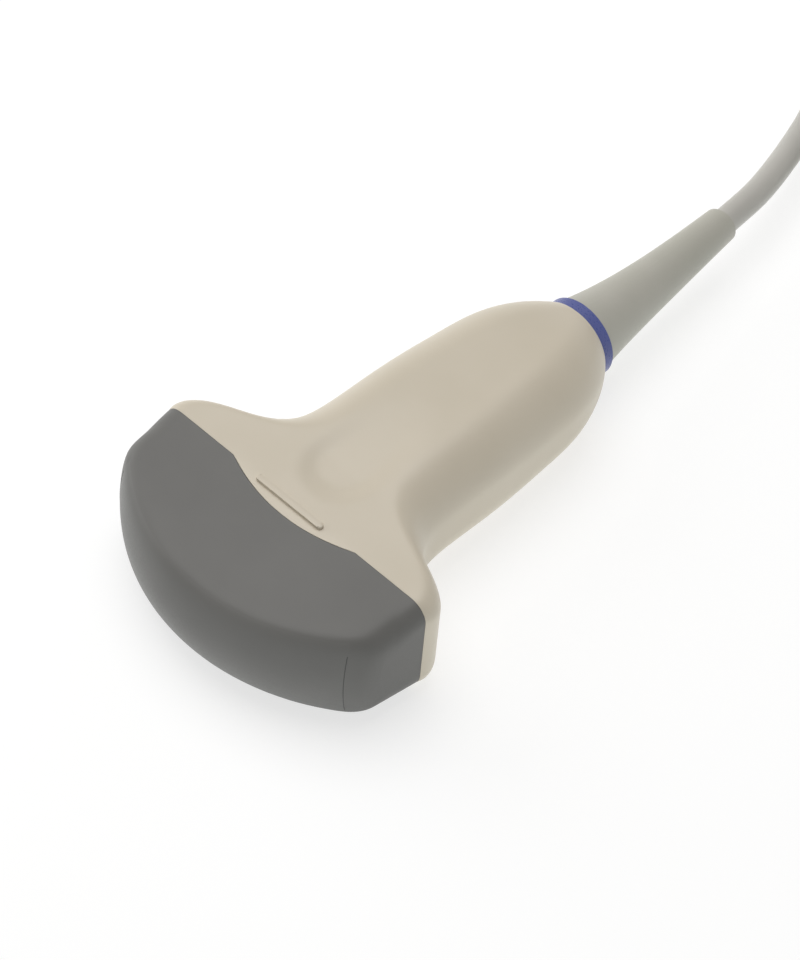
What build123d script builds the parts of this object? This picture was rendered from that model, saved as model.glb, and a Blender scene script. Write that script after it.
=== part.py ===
# Convex ultrasound probe lying on its broad side, with its cable and its system connector.
# X runs across the head, Y from the lens back towards the cable, Z is up and z = 0 is the table.
# The origin is on the table, under the middle of the probe from the lens to the end of its boot.
import os
from math import cos, radians, sin, sqrt, tan

from build123d import *

os.makedirs("parts", exist_ok=True)

# Lengths along the probe, in millimetres
lens_bulge = 2.4
nose_length = 26.0
shell_length = 79.1
ring_width = 2.9
boot_length = 47.2

# Head
head_width = 70.0
face_thickness = 18.9
joint_thickness = 23.9
face_radius = 45.5
end_taper = 5.0
edge_round = 1.2
end_round = 4.0
plan_corner = 5.0
tongue_width = 32.7
tongue_reach = 3.4

# Handle
wall = 2.2
grip_half_width = 17.7
grip_half_height = 13.0
belly_crown = 0.06
rim_radius = 9.5
ring_radius = 9.0
mark_length = 16.6
mark_width = 1.6
mark_height = 0.5
mark_front = 1.2
dish_length = 34.0
dish_width = 19.0
dish_depth = 0.8
dish_start = 3.5
dish_rise = 0.9

# Acoustic stack
seam_angle = 41.3
lens_edge = 0.9
lens_middle = 1.8
array_angle = 32.5
array_height = 12.0
matching_thickness = 1.0
piezo_thickness = 0.5
backing_depth = 12.0
flex_thickness = 0.3
stack_clearance = 0.1
end_wall = 2.4

# Collar of the nosepiece inside the shell
collar_wall = 1.2
collar_length = 3.0
collar_clearance = 0.2

# Boards and wiring in the handle
board_width = 26.0
board_length = 32.0
board_thickness = 1.2
board_start = 3.7
flex_tail = 8.0
carrier_rim = 3.0
bundle_width = 20.0

# Strain relief and cable
cable_diameter = 6.0
boot_start_radius = 8.4
boot_end_radius = 4.0
spigot_radius = 5.2
flange_radius = 7.2
flange_thickness = 2.5
rear_wall = 6.6
clamp_length = 4.0
clamp_wall = 1.6

# Coil of the cable
coil_radius = 32.0
coil_section = 10.9
coil_x = 11.1
coil_y = 166.5
tie_thickness = 1.1
tie_angle = 24.0

# Connector
conn_x = -4.0
conn_y = 292.0
plug_length = 62.0
plug_width = 40.0
skirt_height = 12.0
skirt_wall = 2.0
plug_flange = 3.0
plug_corner = 6.0
hood_length = 80.0
hood_width = 56.0
hood_height = 28.0
hood_wall = 2.5
hood_corner = 10.0
hood_edge = 4.0
block_recess = 7.0
block_clearance = 0.3
slot_columns = 5
slot_rows = 6
slot_pitch_x = 3.6
slot_pitch_y = 5.0
slot_field_x = 18.5
slot_width = 1.4
slot_length = 3.2
slot_depth = 2.0
board2_length = 56.0
board2_width = 34.0
board2_thickness = 1.6
block_stand = 2.0
entry_height = 12.0
boot2_length = 28.0
boot2_radius = 6.8
tail_length = 16.0
tail_width = 30.0
tail_height = 6.0

# Lock of the connector
shaft_diameter = 8.0
shaft_clearance = 0.3
boss_radius = 9.0
boss_depth = 6.0
bar_length = 14.0
bar_width = 4.0
bar_height = 3.0
bar_gap = 2.4
lever_gap = 0.3
lever_thickness = 8.0
lever_length = 40.0
lever_hub = 12.0
lever_tip = 7.0
clip_thickness = 0.8
clip_radius = 7.0
groove_depth = 0.8
screw_diameter = 3.0
screw_head = 5.6
screw_length = 9.0
screw_inset = 7.0
screw_post = 3.3
post_height = 9.5

# Places that follow from the sizes above
overall_length = lens_bulge + nose_length + shell_length + ring_width + boot_length
axis_z = grip_half_height
face_y = lens_bulge - overall_length / 2
joint_y = face_y + nose_length
ring_y = joint_y + shell_length
boot_y = ring_y + ring_width
arc_y = face_y + face_radius
half_head = head_width / 2
half_face = face_thickness / 2
half_joint = joint_thickness / 2
cable_radius = cable_diameter / 2


# Upright plane across the probe at y, with X across and Z up
def across(y):
    return Plane(origin=(0, y, axis_z), x_dir=(1, 0, 0), z_dir=(0, -1, 0))


# Level plane at height z above the axis of the probe
def level(z):
    return Plane.XY.offset(axis_z + z)


# Sector of a ring about the centre of the curved face, drawn on the current sketch
def ring_sector(inner, outer, angle):
    a = radians(angle)
    with BuildLine(mode=Mode.PRIVATE) as outline:
        ThreePointArc(
            (-outer * sin(a), arc_y - outer * cos(a)),
            (0, arc_y - outer),
            (outer * sin(a), arc_y - outer * cos(a)),
        )
        Line((outer * sin(a), arc_y - outer * cos(a)), (inner * sin(a), arc_y - inner * cos(a)))
        ThreePointArc(
            (inner * sin(a), arc_y - inner * cos(a)),
            (0, arc_y - inner),
            (-inner * sin(a), arc_y - inner * cos(a)),
        )
        Line((-inner * sin(a), arc_y - inner * cos(a)), (-outer * sin(a), arc_y - outer * cos(a)))
    make_face(outline.edges())


# Head: upright slices that fan out from end to end, each with a domed front and rounded front corners
centre = Vector(0, arc_y)
corner_x = half_head - end_round
fan = radians(end_taper)
fan_y = joint_y - half_head / tan(fan)
slices = [0.0, 10.0, 20.0, 26.0, 29.0]
slices += [corner_x + end_round * share for share in (0.0, 0.35, 0.65, 0.87, 1.0)]
slices = [-x for x in reversed(slices[1:])] + slices


# Distance from a point along a way to the far side of a circle
def reach(start, way, middle, radius):
    off = start - middle
    along = off.dot(way)
    return sqrt(max(along ** 2 - off.dot(off) + radius ** 2, 0.0)) - along


# The rounded corner of the plan touches the face arc and the end facet
facet = Vector(-sin(fan), -cos(fan))
inset = Vector(half_head, joint_y) + Vector(-cos(fan), sin(fan)) * plan_corner
plan_centre = inset + facet * reach(inset, facet, centre, face_radius - plan_corner)
turn_x = plan_centre.X * face_radius / (face_radius - plan_corner)

with BuildPart() as nose_body:
    for x in slices:
        way = (Vector(0, fan_y) - Vector(abs(x), joint_y)).normalized()
        start = Vector(abs(x), joint_y)
        length = reach(start, way, centre, face_radius)
        if (start + way * length).X > turn_x:
            length = reach(start, way, plan_centre, plan_corner)
        past = max(abs(x) - corner_x, 0.0)
        drop = end_round - sqrt(max(end_round ** 2 - past ** 2, 0.0))
        front_y = (start + way * length).Y
        rise = (half_joint - half_face) * (front_y - face_y) / nose_length
        front_half = half_face + rise - drop
        joint_half = half_joint - drop
        dome = lens_bulge * (front_half / half_face) ** 2
        dome = min(dome, lens_bulge)
        side = 1 if x > 0 else -1
        tilt = Vector(-way.X * side, -way.Y)
        with BuildSketch(Plane(origin=(x, joint_y, axis_z), x_dir=tilt, z_dir=(tilt.Y, -tilt.X, 0))):
            with BuildLine():
                Polyline((-length, -front_half), (0, -joint_half), (0, joint_half), (-length, front_half))
                ThreePointArc((-length, front_half), (-length - dome, 0), (-length, -front_half))
            corners = make_face().vertices().sort_by(Axis.X)[:2]
            fillet(corners, edge_round)
    loft()

# Acoustic stack, all on arcs about the same centre
seat_radius = face_radius - lens_edge
matching_front = face_radius + lens_bulge - lens_middle
piezo_front = matching_front - matching_thickness
backing_front = piezo_front - piezo_thickness
backing_back = backing_front - backing_depth
half_array = array_height / 2
bore_half = half_array + flex_thickness + stack_clearance

with BuildPart() as acoustic_lens:
    add(nose_body.part)
    with BuildSketch(level(0)):
        ring_sector(seat_radius, face_radius + 3 * lens_bulge, seam_angle)
    extrude(amount=joint_thickness, both=True, mode=Mode.INTERSECT)
    with BuildSketch(level(0)):
        ring_sector(backing_back, matching_front, array_angle)
    extrude(amount=half_array, both=True, mode=Mode.SUBTRACT)

with BuildPart() as matching_layer:
    with BuildSketch(level(0)):
        ring_sector(piezo_front, matching_front, array_angle)
    extrude(amount=half_array, both=True)

with BuildPart() as piezo_array:
    with BuildSketch(level(0)):
        ring_sector(backing_front, piezo_front, array_angle)
    extrude(amount=half_array, both=True)

with BuildPart() as backing_block:
    with BuildSketch(level(0)):
        ring_sector(backing_back, backing_front, array_angle)
    extrude(amount=half_array, both=True)

# Tongue of the shell on each broad side: a segment in front of the joint, flush with the head
with BuildPart() as tongues:
    add(nose_body.part)
    with BuildSketch(level(0)):
        with BuildLine():
            ThreePointArc(
                (-tongue_width / 2, joint_y),
                (0, joint_y - tongue_reach),
                (tongue_width / 2, joint_y),
            )
            Line((tongue_width / 2, joint_y), (-tongue_width / 2, joint_y))
        make_face()
    extrude(amount=joint_thickness, both=True, mode=Mode.INTERSECT)
    with BuildSketch(level(0)):
        Rectangle(head_width, overall_length)
    extrude(amount=half_joint - wall, both=True, mode=Mode.SUBTRACT)

# Nosepiece: the head less the lens, hollow for the stack, with a collar that enters the shell
collar_half = half_head - wall - collar_clearance
collar_height = 2 * (half_joint - wall - collar_clearance)
box_front = arc_y - backing_back * cos(radians(array_angle))
box_length = joint_y + collar_length - box_front
with BuildPart() as nosepiece:
    add(nose_body.part)
    with BuildSketch(level(0)):
        ring_sector(seat_radius, face_radius + 3 * lens_bulge, seam_angle)
    extrude(amount=joint_thickness, both=True, mode=Mode.SUBTRACT)
    add(tongues.part, mode=Mode.SUBTRACT)
    with BuildSketch(across(joint_y)):
        RectangleRounded(2 * collar_half, collar_height, end_round - wall - collar_clearance)
    extrude(amount=-collar_length)
    with BuildSketch(level(0)):
        ring_sector(backing_back / 2, face_radius, array_angle)
        with Locations((0, box_front + box_length / 2)):
            Rectangle(2 * (collar_half - collar_wall), box_length)
    extrude(amount=bore_half, both=True, mode=Mode.SUBTRACT)
    with BuildSketch(level(0)):
        ring_sector(backing_front, face_radius, array_angle)
    extrude(amount=half_array, both=True, mode=Mode.SUBTRACT)

# Handle: rounded sections from the joint to the ring, as half width, half height and corner radius
stations = [
    (joint_y, half_head, half_joint, end_round),
    (joint_y + 3.0, half_head + 0.2, half_joint + 0.05, end_round + 0.5),
    (joint_y + 6.0, half_head - 1.8, half_joint + 0.1, end_round + 1.5),
    (joint_y + 9.0, half_head - 6.6, half_joint + 0.2, end_round + 3.0),
    (joint_y + 12.5, grip_half_width + 5.1, grip_half_height - 0.7, 8.5),
    (joint_y + 17.0, grip_half_width + 1.5, grip_half_height - 0.5, 9.3),
    (joint_y + 23.0, grip_half_width + 0.2, grip_half_height - 0.25, 9.8),
    (joint_y + 31.0, grip_half_width, grip_half_height - belly_crown, 10.0),
    (ring_y - 37.0, grip_half_width, grip_half_height - belly_crown, 10.2),
    (ring_y - 24.0, grip_half_width - 0.7, grip_half_height - 0.3, 10.3),
    (ring_y - 14.5, grip_half_width - 1.6, grip_half_height - 0.8, 10.3),
    (ring_y - rear_wall, grip_half_width - 4.0, grip_half_height - 1.9, 10.0),
    (ring_y - 2.8, rim_radius + 2.2, rim_radius + 0.7, 9.7),
    (ring_y, rim_radius, rim_radius, 9.3),
]
cavity_rows = 12
rib_rows = (6, 7)
rib_thickness = 1.6
rib_clearance = 0.2
half_board = board_width / 2

with BuildPart() as shell_body:
    for y, half_w, half_h, corner in stations:
        with BuildSketch(across(y)):
            RectangleRounded(2 * half_w, 2 * half_h, corner)
    loft()
    for y, half_w, half_h, corner in stations[:cavity_rows]:
        with BuildSketch(across(y)):
            RectangleRounded(2 * (half_w - wall), 2 * (half_h - wall), corner - wall)
    loft(mode=Mode.SUBTRACT)
    for row in rib_rows:
        y, half_w, half_h, corner = stations[row]
        with BuildSketch(across(y + rib_thickness / 2)):
            RectangleRounded(2 * half_w - wall, 2 * half_h - wall, corner - wall / 2)
            Rectangle(
                board_width + 2 * rib_clearance, array_height + 2 * rib_clearance, mode=Mode.SUBTRACT
            )
        extrude(amount=rib_thickness)
    add(tongues.part)
    with Locations(Location((0, ring_y, axis_z), (90, 0, 0))):
        Cylinder(spigot_radius, 2 * rear_wall, mode=Mode.SUBTRACT)

with BuildPart() as lower_shell:
    add(shell_body.part)
    split(bisect_by=level(0), keep=Keep.BOTTOM)

# The upper half also has a slim raised bar that marks one side and a shallow dish for the thumb
dish_y = joint_y + dish_start + dish_length / 2
dish_z = axis_z + half_joint + dish_rise / 2
dish_roll = ((dish_width / 2) ** 2 + dish_depth ** 2) / (2 * dish_depth)
dish_plane = Plane(origin=(0, dish_y, dish_z), x_dir=(0, dish_length, dish_rise), z_dir=(1, 0, 0))
with BuildPart() as upper_shell:
    add(shell_body.part)
    split(bisect_by=level(0), keep=Keep.TOP)
    with BuildSketch(level(half_joint - wall / 2)):
        with Locations((0, joint_y - mark_front + mark_width / 2)):
            SlotOverall(mark_length, mark_width)
    extrude(amount=wall / 2 + mark_height)
    with BuildSketch(dish_plane):
        with BuildLine():
            ThreePointArc((-dish_length / 2, 0), (0, -dish_depth), (dish_length / 2, 0))
            Polyline(
                (dish_length / 2, 0),
                (dish_length / 2, dish_roll - dish_depth),
                (-dish_length / 2, dish_roll - dish_depth),
                (-dish_length / 2, 0),
            )
        make_face()
    roll_start = dish_plane.from_local_coords(Vector(0, dish_roll - dish_depth, 0))
    revolve(axis=Axis(roll_start, dish_plane.x_dir), mode=Mode.SUBTRACT)

# Flexible circuits lie on both sides of the stack and end on the boards
board_y = joint_y + board_start
board_end_y = board_y + board_length
with BuildPart() as flex_circuit_upper:
    with BuildSketch(level(half_array)):
        ring_sector(backing_back, backing_front, array_angle)
        with Locations((0, arc_y - backing_back)):
            Rectangle(
                board_width, board_y + flex_tail - (arc_y - backing_back), align=(Align.CENTER, Align.MIN)
            )
    extrude(amount=flex_thickness)

with BuildPart() as board_upper:
    with BuildSketch(level(half_array - board_thickness)):
        with Locations((0, board_y + board_length / 2)):
            Rectangle(board_width, board_length)
    extrude(amount=board_thickness)

with BuildPart() as flex_circuit_lower:
    add(flex_circuit_upper.part)
    mirror(about=level(0), mode=Mode.REPLACE)

with BuildPart() as board_lower:
    add(board_upper.part)
    mirror(about=level(0), mode=Mode.REPLACE)

with BuildPart() as board_carrier:
    with BuildSketch(level(0)):
        with Locations((0, board_y + board_length / 2)):
            Rectangle(board_width, board_length)
            Rectangle(
                board_width - 2 * carrier_rim, board_length - 2 * carrier_rim, mode=Mode.SUBTRACT
            )
    extrude(amount=half_array - board_thickness, both=True)

# Cable: from the clamp through the boot to the coil, as straight runs with large arcs between them
rear_y = ring_y - rear_wall
flange_y = rear_y - flange_thickness
cable_y = flange_y - clamp_length
coil_z = tie_thickness + coil_section
coil_left = coil_x - coil_radius - 4.0
boot_end_y = boot_y + boot_length
cable_points = [
    Vector(0, cable_y, axis_z),
    Vector(0, boot_y + 16.0, axis_z),
    Vector(-2.2, boot_end_y + 2.8, axis_z - 0.1),
    Vector(-5.6, boot_end_y + 30.2, axis_z - 0.5),
    Vector(-13.0, coil_y - 36.0, coil_z + 0.2),
    Vector(coil_left + 3.4, coil_y - 19.0, coil_z),
    Vector(coil_left, coil_y - 4.0, coil_z),
]
conn_entry_z = skirt_height + plug_flange + entry_height
hood_y = conn_y - hood_length / 2
tail_points = [
    Vector(coil_left, coil_y + 9.0, coil_z),
    Vector(coil_left + 0.9, coil_y + 27.5, coil_z + 1.0),
    Vector(conn_x - 13.0, hood_y - 41.0, conn_entry_z - 10.0),
    Vector(conn_x - 3.0, hood_y - 25.5, conn_entry_z - 2.5),
    Vector(conn_x, hood_y - 8.0, conn_entry_z),
    Vector(conn_x, hood_y + hood_wall + flange_thickness + clamp_length, conn_entry_z),
]


# Largest even radius at each corner of a route
def corner_radii(points):
    radii = []
    for before, here, after in zip(points, points[1:], points[2:]):
        turn = (here - before).get_angle(after - here)
        run = min((here - before).length, (after - here).length)
        radii.append(0.45 * run / tan(radians(turn) / 2))
    return radii


print("cable radii", [round(r) for r in corner_radii(cable_points)])
print("tail radii", [round(r) for r in corner_radii(tail_points)])

with BuildPart() as cable_tube:
    with BuildLine() as cable_path:
        FilletPolyline(*cable_points, radius=corner_radii(cable_points))
    cable_route = cable_path.wire()
    with BuildSketch(Plane(origin=cable_route @ 0, z_dir=cable_route % 0)):
        Circle(cable_radius)
    sweep(path=cable_route)

with BuildPart() as tail_tube:
    with BuildLine() as tail_path:
        FilletPolyline(*tail_points, radius=corner_radii(tail_points))
    tail_route = tail_path.wire()
    with BuildSketch(Plane(origin=tail_route @ 0, z_dir=tail_route % 0)):
        Circle(cable_radius)
    sweep(path=tail_route)

area = 3.14159265 * cable_radius ** 2
print("cable volume", round(cable_tube.part.volume), "of", round(area * cable_route.length))
print("tail volume", round(tail_tube.part.volume), "of", round(area * tail_route.length))

with BuildPart() as cable_coil:
    with Locations((coil_x, coil_y, coil_z)):
        Torus(coil_radius, coil_section)

with BuildPart() as cable:
    add(cable_tube.part)
    add(cable_coil.part, mode=Mode.SUBTRACT)

with BuildPart() as cable_tail:
    add(tail_tube.part)
    add(cable_coil.part, mode=Mode.SUBTRACT)

with BuildPart() as coil_tie:
    with BuildSketch(Plane(origin=(coil_x, coil_y, coil_z), x_dir=(0, 1, 0), z_dir=(1, 0, 0))):
        with Locations((coil_radius, 0)):
            Circle(coil_section + tie_thickness)
            Circle(coil_section, mode=Mode.SUBTRACT)
    revolve(axis=Axis((coil_x, coil_y, coil_z), (0, 0, -1)), revolution_arc=tie_angle)

# Ring and boot behind the handle; the boot's head is held inside the shell
with BuildPart() as id_ring:
    with BuildSketch(across(ring_y)):
        Circle(ring_radius)
        Circle(spigot_radius, mode=Mode.SUBTRACT)
    extrude(amount=-ring_width)

boot_taper = [(0.0, 1.0), (0.17, 0.7), (0.4, 0.42), (0.68, 0.19), (1.0, 0.0)]
with BuildPart() as strain_relief:
    for along, share in boot_taper:
        place = boot_y - cable_y + along * boot_length
        spot = cable_route.position_at(place, position_mode=PositionMode.LENGTH)
        heading = cable_route.tangent_at(place, position_mode=PositionMode.LENGTH)
        with BuildSketch(Plane(origin=spot, z_dir=heading)):
            Circle(boot_end_radius + share * (boot_start_radius - boot_end_radius))
    loft()
    with BuildSketch(across(boot_y)):
        Circle(spigot_radius)
    extrude(amount=boot_y - rear_y)
    with BuildSketch(across(rear_y)):
        Circle(flange_radius)
    extrude(amount=flange_thickness)
    add(cable_tube.part, mode=Mode.SUBTRACT)

with BuildPart() as cable_clamp:
    with BuildSketch(across(flange_y)):
        Circle(cable_radius + clamp_wall)
        Circle(cable_radius, mode=Mode.SUBTRACT)
    extrude(amount=clamp_length)

bundle_end = cable_radius - 0.4
with BuildPart() as coax_bundle:
    with BuildSketch(across(board_end_y)):
        RectangleRounded(bundle_width, array_height, 2.0)
    with BuildSketch(across((board_end_y + cable_y) / 2)):
        RectangleRounded(0.62 * bundle_width, 0.72 * array_height, 2.6)
    with BuildSketch(across(cable_y)):
        RectangleRounded(2 * bundle_end, 2 * bundle_end, 0.98 * bundle_end)
    loft()

# Connector, lying on the rim of its plug shell
flange_low = skirt_height
flange_top = skirt_height + plug_flange
block_top = flange_top + block_stand
hood_top = flange_top + hood_height
ceiling = hood_top - hood_wall
boss_low = ceiling - boss_depth
clip_z = boss_low - lever_gap - clip_thickness
lever_z = hood_top + lever_gap
bore_radius = shaft_diameter / 2 + shaft_clearance
screw_x = hood_length / 2 - screw_inset
screw_y = hood_width / 2 - screw_inset
opening_length = plug_length - 2 * skirt_wall
opening_width = plug_width - 2 * skirt_wall


# Level plane of the connector at height z, centred on its lock shaft, with its own X away from the cable
def deck(z):
    return Plane(origin=(conn_x, conn_y, z), x_dir=(0, 1, 0), z_dir=(0, 0, 1))


# Upright plane across the connector's cable at y
def gate(y):
    return Plane(origin=(conn_x, y, conn_entry_z), x_dir=(-1, 0, 0), z_dir=(0, 1, 0))


with BuildPart() as plug_shell:
    with BuildSketch(deck(0)):
        RectangleRounded(plug_length, plug_width, plug_corner)
    extrude(amount=skirt_height)
    with BuildSketch(deck(flange_low)):
        RectangleRounded(hood_length, hood_width, hood_corner)
    extrude(amount=plug_flange)
    with BuildSketch(deck(0)):
        RectangleRounded(opening_length, opening_width, plug_corner - skirt_wall)
    extrude(amount=flange_top, mode=Mode.SUBTRACT)
    with Locations(deck(flange_low)):
        with GridLocations(2 * screw_x, 2 * screw_y, 2, 2):
            Cylinder(screw_diameter / 2, plug_flange, align=(Align.CENTER, Align.CENTER, Align.MIN),
                     mode=Mode.SUBTRACT)
            Cone(screw_head / 2, screw_diameter / 2, (screw_head - screw_diameter) / 2,
                 align=(Align.CENTER, Align.CENTER, Align.MIN), mode=Mode.SUBTRACT)

with BuildPart() as contact_block:
    with BuildSketch(deck(block_recess)):
        RectangleRounded(
            opening_length - 2 * block_clearance,
            opening_width - 2 * block_clearance,
            plug_corner - skirt_wall - block_clearance,
        )
    extrude(amount=flange_top - block_recess)
    with BuildSketch(deck(flange_top)):
        RectangleRounded(plug_length, plug_width, plug_corner)
    extrude(amount=block_stand)
    with BuildSketch(deck(block_recess)):
        Circle(bore_radius)
    extrude(amount=block_top, mode=Mode.SUBTRACT)
    with BuildSketch(deck(block_recess)):
        with Locations((-slot_field_x, 0), (slot_field_x, 0)):
            with GridLocations(slot_pitch_x, slot_pitch_y, slot_columns, slot_rows):
                Rectangle(slot_width, slot_length)
    extrude(amount=slot_depth, mode=Mode.SUBTRACT)

with BuildPart() as connector_board:
    with BuildSketch(deck(block_top)):
        Rectangle(board2_length, board2_width)
        Circle(boss_radius, mode=Mode.SUBTRACT)
    extrude(amount=board2_thickness)

with BuildPart() as connector_hood:
    with BuildSketch(deck(flange_top)):
        RectangleRounded(hood_length, hood_width, hood_corner)
    extrude(amount=hood_height)
    fillet(connector_hood.faces().sort_by(Axis.Z)[-1].edges(), hood_edge)
    with BuildSketch(deck(flange_top)):
        RectangleRounded(
            hood_length - 2 * hood_wall, hood_width - 2 * hood_wall, hood_corner - hood_wall
        )
    extrude(amount=hood_height - hood_wall, mode=Mode.SUBTRACT)
    with BuildSketch(deck(boss_low)):
        Circle(boss_radius)
    extrude(amount=boss_depth)
    with Locations(deck(flange_top)):
        with GridLocations(2 * screw_x, 2 * screw_y, 2, 2):
            Cylinder(screw_post, post_height, align=(Align.CENTER, Align.CENTER, Align.MIN))
    with Locations(deck(flange_top)):
        with GridLocations(2 * screw_x, 2 * screw_y, 2, 2):
            Cylinder(screw_diameter / 2, screw_length - plug_flange,
                     align=(Align.CENTER, Align.CENTER, Align.MIN), mode=Mode.SUBTRACT)
    with BuildSketch(deck(boss_low)):
        Circle(bore_radius)
    extrude(amount=hood_top, mode=Mode.SUBTRACT)
    with BuildSketch(gate(hood_y)):
        Circle(spigot_radius)
    extrude(amount=hood_wall, mode=Mode.SUBTRACT)

with BuildPart() as hood_screws:
    with Locations(deck(flange_low)):
        with GridLocations(2 * screw_x, 2 * screw_y, 2, 2):
            Cylinder(screw_diameter / 2, screw_length, align=(Align.CENTER, Align.CENTER, Align.MIN))
            Cone(screw_head / 2, screw_diameter / 2, (screw_head - screw_diameter) / 2,
                 align=(Align.CENTER, Align.CENTER, Align.MIN))

tail_length_total = tail_route.length
boot2_taper = [(0.0, 0.0), (0.3, 0.22), (0.65, 0.55), (1.0, 1.0)]
hood_place = tail_length_total - hood_wall - flange_thickness - clamp_length
with BuildPart() as connector_boot:
    for along, share in boot2_taper:
        place = hood_place - boot2_length * (1 - along)
        spot = tail_route.position_at(place, position_mode=PositionMode.LENGTH)
        heading = tail_route.tangent_at(place, position_mode=PositionMode.LENGTH)
        with BuildSketch(Plane(origin=spot, z_dir=heading)):
            Circle(boot_end_radius + share * (boot2_radius - boot_end_radius))
    loft()
    with BuildSketch(gate(hood_y)):
        Circle(spigot_radius)
    extrude(amount=hood_wall)
    with BuildSketch(gate(hood_y + hood_wall)):
        Circle(flange_radius)
    extrude(amount=flange_thickness)
    add(tail_tube.part, mode=Mode.SUBTRACT)

clamp2_y = hood_y + hood_wall + flange_thickness
tail_y = clamp2_y + clamp_length
board2_top = block_top + board2_thickness
with BuildPart() as connector_clamp:
    with BuildSketch(gate(clamp2_y)):
        Circle(cable_radius + clamp_wall)
        Circle(cable_radius, mode=Mode.SUBTRACT)
    extrude(amount=clamp_length)

drop = conn_entry_z - board2_top - tail_height / 2
with BuildPart() as coax_tail:
    with BuildSketch(gate(tail_y)):
        RectangleRounded(2 * bundle_end, 2 * bundle_end, 0.98 * bundle_end)
    with BuildSketch(gate(tail_y + tail_length / 2)):
        with Locations((0, -0.6 * drop)):
            RectangleRounded(0.5 * tail_width, tail_height, 2.2)
    with BuildSketch(gate(tail_y + tail_length)):
        with Locations((0, -drop)):
            RectangleRounded(tail_width, tail_height, 2.2)
    loft()

# Lock: a lever on a shaft that turns in the hood and the contact block
with BuildPart() as lock_shaft:
    with BuildSketch(deck(bar_gap)):
        Circle(shaft_diameter / 2)
    extrude(amount=lever_z + lever_thickness - bar_gap)
    with BuildSketch(deck(bar_gap)):
        RectangleRounded(bar_length, bar_width, bar_width / 2 - 0.05)
    extrude(amount=bar_height)
    with BuildSketch(deck(clip_z)):
        Circle(shaft_diameter / 2)
        Circle(shaft_diameter / 2 - groove_depth, mode=Mode.SUBTRACT)
    extrude(amount=clip_thickness, mode=Mode.SUBTRACT)

with BuildPart() as retaining_clip:
    with BuildSketch(deck(clip_z)):
        Circle(clip_radius)
        Circle(shaft_diameter / 2 - groove_depth, mode=Mode.SUBTRACT)
        Rectangle(clip_radius, shaft_diameter - 3 * groove_depth, align=(Align.MIN, Align.CENTER),
                  mode=Mode.SUBTRACT)
    extrude(amount=clip_thickness)

with BuildPart() as lock_lever:
    with BuildSketch(deck(lever_z)):
        Circle(lever_hub)
        with Locations((lever_length - lever_tip, 0)):
            Circle(lever_tip)
        make_hull()
    extrude(amount=lever_thickness)
    fillet(lock_lever.faces().sort_by(Axis.Z)[-1].edges(), 2.0)
    with BuildSketch(deck(lever_z)):
        Circle(shaft_diameter / 2)
    extrude(amount=lever_thickness, mode=Mode.SUBTRACT)

pieces = {
    "acoustic_lens": acoustic_lens,
    "nosepiece": nosepiece,
    "matching_layer": matching_layer,
    "piezo_array": piezo_array,
    "backing_block": backing_block,
    "flex_circuit_upper": flex_circuit_upper,
    "flex_circuit_lower": flex_circuit_lower,
    "board_upper": board_upper,
    "board_lower": board_lower,
    "board_carrier": board_carrier,
    "coax_bundle": coax_bundle,
    "cable_clamp": cable_clamp,
    "upper_shell": upper_shell,
    "lower_shell": lower_shell,
    "id_ring": id_ring,
    "strain_relief": strain_relief,
    "cable": cable,
    "cable_coil": cable_coil,
    "coil_tie": coil_tie,
    "cable_tail": cable_tail,
    "connector_boot": connector_boot,
    "connector_clamp": connector_clamp,
    "coax_tail": coax_tail,
    "connector_hood": connector_hood,
    "plug_shell": plug_shell,
    "contact_block": contact_block,
    "connector_board": connector_board,
    "hood_screws": hood_screws,
    "lock_shaft": lock_shaft,
    "retaining_clip": retaining_clip,
    "lock_lever": lock_lever,
}
for name, piece in pieces.items():
    piece.part.label = name
    export_step(piece.part, f"parts/{name}.step")
    box = piece.part.bounding_box()
    print(name, len(piece.part.solids()), piece.part.is_valid, round(piece.part.volume, 1),
          [round(v, 2) for v in (*box.min, *box.max)])
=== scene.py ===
from math import copysign, cos, exp, pi, radians, sin

import bmesh
import bpy
from mathutils import Matrix, Vector
from mathutils.bvhtree import BVHTree


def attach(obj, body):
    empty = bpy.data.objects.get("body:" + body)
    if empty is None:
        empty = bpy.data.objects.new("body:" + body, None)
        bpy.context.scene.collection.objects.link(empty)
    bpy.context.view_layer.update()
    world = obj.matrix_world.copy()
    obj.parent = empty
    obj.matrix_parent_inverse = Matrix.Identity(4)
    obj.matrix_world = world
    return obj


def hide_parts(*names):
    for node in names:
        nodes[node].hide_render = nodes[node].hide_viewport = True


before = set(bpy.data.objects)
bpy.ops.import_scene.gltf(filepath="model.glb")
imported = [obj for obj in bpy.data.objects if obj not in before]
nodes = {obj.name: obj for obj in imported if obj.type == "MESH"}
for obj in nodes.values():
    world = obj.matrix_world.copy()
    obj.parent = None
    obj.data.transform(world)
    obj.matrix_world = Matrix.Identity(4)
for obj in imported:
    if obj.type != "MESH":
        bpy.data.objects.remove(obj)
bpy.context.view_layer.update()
scene = bpy.context.scene
scene.view_settings.view_transform = "Standard"
mm = 0.001  # the sizes of the pieces are in millimetres
farOff = 80.0  # mm, outside every piece of the head and handle
crispAngle = radians(40)  # sharper edges than this stay crisp
noiseSpan = (0.3, 0.7)  # where most of a noise's values lie
grainDepth = 0.2  # of a mark's width


def hexLinear(code):
    parts = [int(code[i:i + 2], 16) / 255 for i in (1, 3, 5)]
    return [p / 12.92 if p <= 0.04045 else ((p + 0.055) / 1.055) ** 2.4 for p in parts] + [1.0]


def addNode(tree, kind, inputs=None, **settings):
    node = tree.nodes.new(kind)
    for key, value in settings.items():
        setattr(node, key, value)
    for key, value in (inputs or {}).items():
        if isinstance(value, bpy.types.NodeSocket):
            tree.links.new(value, node.inputs[key])
        else:
            node.inputs[key].default_value = value
    return node


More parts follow.
